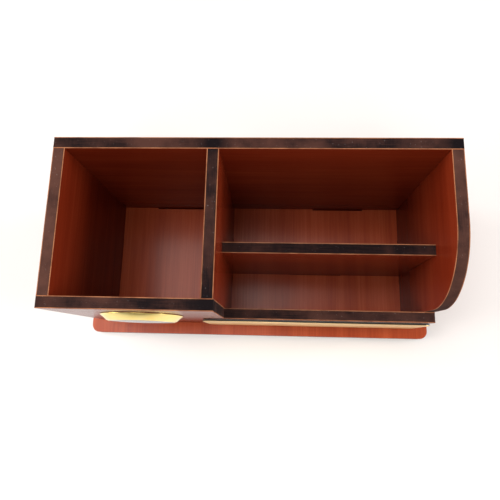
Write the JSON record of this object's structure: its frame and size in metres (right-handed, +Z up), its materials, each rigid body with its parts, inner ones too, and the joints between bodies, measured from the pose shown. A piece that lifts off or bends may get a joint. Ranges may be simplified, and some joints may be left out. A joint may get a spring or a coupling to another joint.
{
  "type": "desk pen stand",
  "caption": "Open wooden desk pen stand with a deep pen well, a divided bay with a curved side, a base plate, a name plate and a push-in clock.",
  "frame": {"origin": "centre of the underside of the base plate, on the surface that the stand rests on", "axes": "+X to the right seen from the clock side, +Y to the back, +Z up"},
  "size_m": [0.221, 0.1006, 0.106],
  "materials": {
    "board": "satin red-brown mahogany laminate on fibreboard, dark charred edges",
    "plate": "brushed gold face on a dark core",
    "tape": "white double-sided adhesive tape",
    "bezel": "polished gold plating",
    "lens": "clear mineral glass",
    "dial": "cream printed dial",
    "case": "black moulded plastic",
    "grip": "pale soft ring",
    "movement": "grey moulded plastic",
    "cell": "bright nickel-plated steel",
    "hands": "gloss black",
    "second": "red"
  },
  "bodies": {
    "box": {"base_plate": "board", "back_panel": "board", "front_panel": "board", "left_side_panel": "board", "right_side_panel": "board", "cross_divider": "board", "low_divider": "board", "name_plate_tape": "tape", "name_plate": "plate"},
    "clock": {"clock_case": "case", "clock_grip_ring": "grip", "clock_bezel": "bezel", "clock_lens": "lens", "clock_dial": "dial", "clock_movement": "movement", "clock_battery": "cell", "clock_back_cover": "case"},
    "hour": {"hour_hand": "hands"},
    "minute": {"minute_hand": "hands"},
    "second": {"second_hand": "second"},
    "knob": {"setting_knob": "case"}
  },
  "joints": [
    {"name": "clock_pull", "type": "slide", "parent": "box", "child": "clock", "axis": [0, -1, 0], "range_m": [0, 0.01]},
    {"name": "minute_turn", "type": "hinge", "parent": "clock", "child": "minute", "pos_m": [-0.05865, -0.0425, 0.0725], "axis": [0, 1, 0], "continuous": true},
    {"name": "hour_turn", "type": "hinge", "parent": "clock", "child": "hour", "pos_m": [-0.05865, -0.0425, 0.0725], "axis": [0, 1, 0], "continuous": true},
    {"name": "knob_turn", "type": "hinge", "parent": "clock", "child": "knob", "pos_m": [-0.05865, -0.0425, 0.0725], "axis": [0, 1, 0], "continuous": true},
    {"name": "second_turn", "type": "hinge", "parent": "clock", "child": "second", "pos_m": [-0.05865, -0.0425, 0.0725], "axis": [0, 1, 0], "continuous": true}
  ],
  "couplings": [
    {"joint": "hour_turn", "follows": "minute_turn", "ratio": 0.083333},
    {"joint": "knob_turn", "follows": "minute_turn", "ratio": 1}
  ]
}
